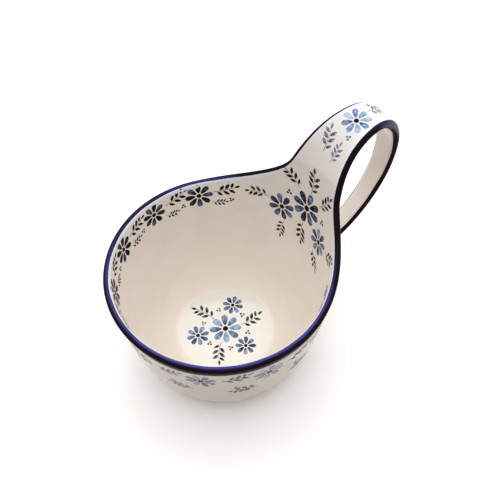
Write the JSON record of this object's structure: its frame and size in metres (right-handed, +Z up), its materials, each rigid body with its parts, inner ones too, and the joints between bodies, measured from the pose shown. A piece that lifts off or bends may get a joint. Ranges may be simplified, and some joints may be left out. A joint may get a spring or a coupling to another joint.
{
  "type": "water scoop",
  "caption": "Glazed stoneware water scoop: a round bowl on a turned foot, whose rim sweeps up at the back and rolls over into a loop handle, with a cobalt band on its edges.",
  "frame": {"origin": "on the table, under the middle of the object's length and width", "axes": "+X along the length from the bowl to the loop handle, +Z up out of the bowl, Y across"},
  "size_m": [0.186, 0.1274, 0.1271],
  "materials": {
    "glazed_stoneware": "clear gloss glaze over cream stoneware",
    "cobalt_glaze": "brushed cobalt band under a clear gloss glaze",
    "bare_stoneware": "unglazed, wiped smooth"
  },
  "bodies": {
    "root": {"bowl_body": "glazed_stoneware", "foot_ring": "bare_stoneware", "rim_band": "cobalt_glaze", "handle_strap": "glazed_stoneware", "strap_band_left": "cobalt_glaze", "strap_band_right": "cobalt_glaze"}
  },
  "joints": []
}
